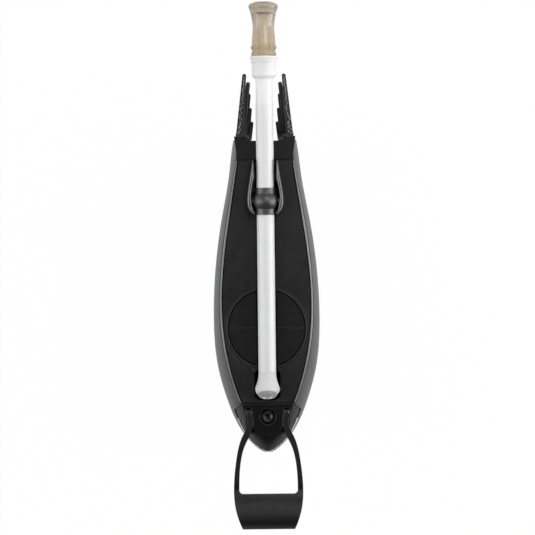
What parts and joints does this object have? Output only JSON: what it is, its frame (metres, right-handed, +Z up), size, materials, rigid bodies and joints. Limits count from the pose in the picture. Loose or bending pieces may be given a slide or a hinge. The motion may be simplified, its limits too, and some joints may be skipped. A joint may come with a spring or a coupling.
{
  "type": "drinks reservoir with swivel straw",
  "caption": "Streamlined handlebar drinks reservoir with a swivelling straw, flap-closed refill port, fin combs and a pull strap.",
  "frame": {"origin": "bottom centre of the whole part's box, on the floor under the base pad", "axes": "+Z up out of the lid, +Y along the straw towards the bite valve, +X to the right across the body"},
  "size_m": [0.0696, 0.3426, 0.1],
  "materials": {
    "shell": "satin grey moulding",
    "lid": "fine-grained matt black",
    "collar": "matt black, fine grain",
    "cap": "gloss black",
    "rubber": "satin black rubber",
    "fin": "black rubber with a grained outer face",
    "ball": "gloss dark grey",
    "straw": "translucent white tube",
    "foot": "soft white silicone",
    "adapter": "frosted clear moulding",
    "valve": "smoky amber silicone",
    "seal": "black seal rubber",
    "steel": "plain steel",
    "dark_steel": "black oxide steel",
    "brass": "knurled brass"
  },
  "bodies": {
    "body": {"reservoir_shell": "shell", "base_pad": "rubber", "lid_cover": "lid", "lid_gasket": "seal", "ball_cradle": "ball", "cradle_screws": "steel", "port_frame": "lid", "end_collar": "collar", "nose_cap": "cap", "cap_insert": "brass", "cap_screw_washer": "dark_steel", "cap_screw": "dark_steel", "strap_pins": "steel"},
    "ball": {"swivel_ball": "ball", "ball_seal_ring": "seal"},
    "straw": {"straw_tube": "straw", "straw_foot": "foot", "valve_adapter": "adapter", "adapter_o_ring": "seal", "bite_valve": "valve"},
    "strap": {"pull_strap": "rubber"},
    "left_fins": {"left_fin_comb": "fin"},
    "right_fins": {"right_fin_comb": "fin"},
    "flap_1": {"port_flap_1": "lid"},
    "flap_2": {"port_flap_2": "lid"},
    "flap_3": {"port_flap_3": "lid"},
    "flap_4": {"port_flap_4": "lid"}
  },
  "joints": [
    {"name": "straw_tilt", "type": "hinge", "parent": "body", "child": "ball", "pos_m": [0, 0.0421, 0.0905], "axis": [1, 0, 0], "range_deg": [0, 34]},
    {"name": "straw_twist", "type": "hinge", "parent": "ball", "child": "straw", "pos_m": [0, 0.0421, 0.0905], "axis": [0, 1, 0], "continuous": true},
    {"name": "strap_swing", "type": "hinge", "parent": "body", "child": "strap", "pos_m": [0, -0.095, 0.084], "axis": [-1, 0, 0], "range_deg": [0, 60], "stiffness_Nm_per_rad": 0.05},
    {"name": "left_fins_flex", "type": "hinge", "parent": "body", "child": "left_fins", "pos_m": [-0.0105, 0.0806, 0.06], "axis": [0, 0, 1], "range_deg": [-5, 8], "stiffness_Nm_per_rad": 0.3},
    {"name": "right_fins_flex", "type": "hinge", "parent": "body", "child": "right_fins", "pos_m": [0.0105, 0.0806, 0.06], "axis": [0, 0, -1], "range_deg": [-5, 8], "stiffness_Nm_per_rad": 0.3},
    {"name": "flap_1_fold", "type": "hinge", "parent": "body", "child": "flap_1", "pos_m": [-0.02, -0.0403, 0.0844], "axis": [0, 1, 0], "range_deg": [0, 60], "stiffness_Nm_per_rad": 0.02},
    {"name": "flap_2_fold", "type": "hinge", "parent": "body", "child": "flap_2", "pos_m": [0.02, -0.0403, 0.0844], "axis": [0, -1, 0], "range_deg": [0, 60], "stiffness_Nm_per_rad": 0.02},
    {"name": "flap_3_fold", "type": "hinge", "parent": "body", "child": "flap_3", "pos_m": [-0.02, -0.0403, 0.0844], "axis": [0, 1, 0], "range_deg": [0, 60], "stiffness_Nm_per_rad": 0.02},
    {"name": "flap_4_fold", "type": "hinge", "parent": "body", "child": "flap_4", "pos_m": [0.02, -0.0403, 0.0844], "axis": [0, -1, 0], "range_deg": [0, 60], "stiffness_Nm_per_rad": 0.02}
  ]
}
